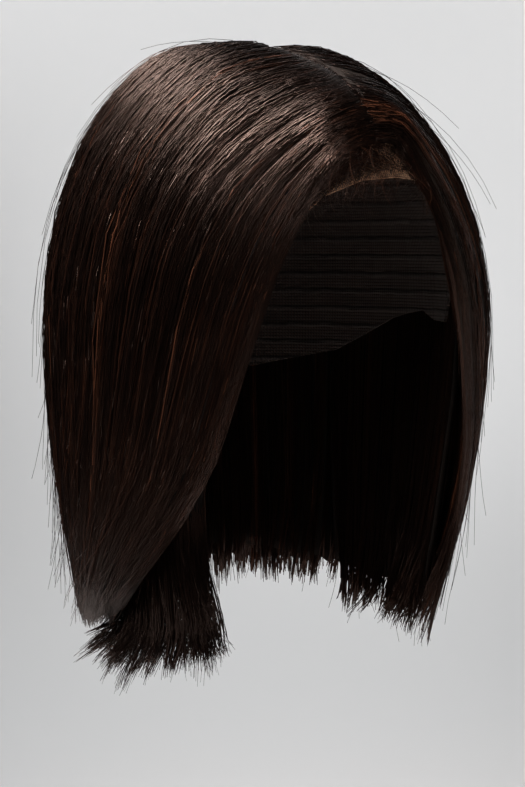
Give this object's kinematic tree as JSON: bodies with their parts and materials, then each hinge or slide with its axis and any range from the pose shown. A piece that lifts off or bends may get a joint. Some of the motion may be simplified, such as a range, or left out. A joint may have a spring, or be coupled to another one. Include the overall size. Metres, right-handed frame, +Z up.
{
  "type": "lace front wig",
  "caption": "Dark brown long bob wig with a centre part, one side swept back, on a knitted cap with a sheer lace hairline strip.",
  "frame": {"origin": "the point inside the cap that rests on the top of the wearer's head", "axes": "+Z up along the wearer's head, -Y the way the wearer faces, +X to the wearer's left"},
  "size_m": [0.2166, 0.2268, 0.307],
  "materials": {
    "cap_fabric": "dark brown knitted mesh",
    "lace": "sheer warm beige net with hand-tied knots",
    "hair": "satin dark brown fibre with chestnut streaks"
  },
  "bodies": {
    "root": {"cap": "cap_fabric", "lace_front": "lace", "sweep_right": "hair", "sweep_left": "hair", "back_fall": "hair", "under_right": "hair", "under_left": "hair", "nape_fall": "hair"}
  },
  "joints": []
}
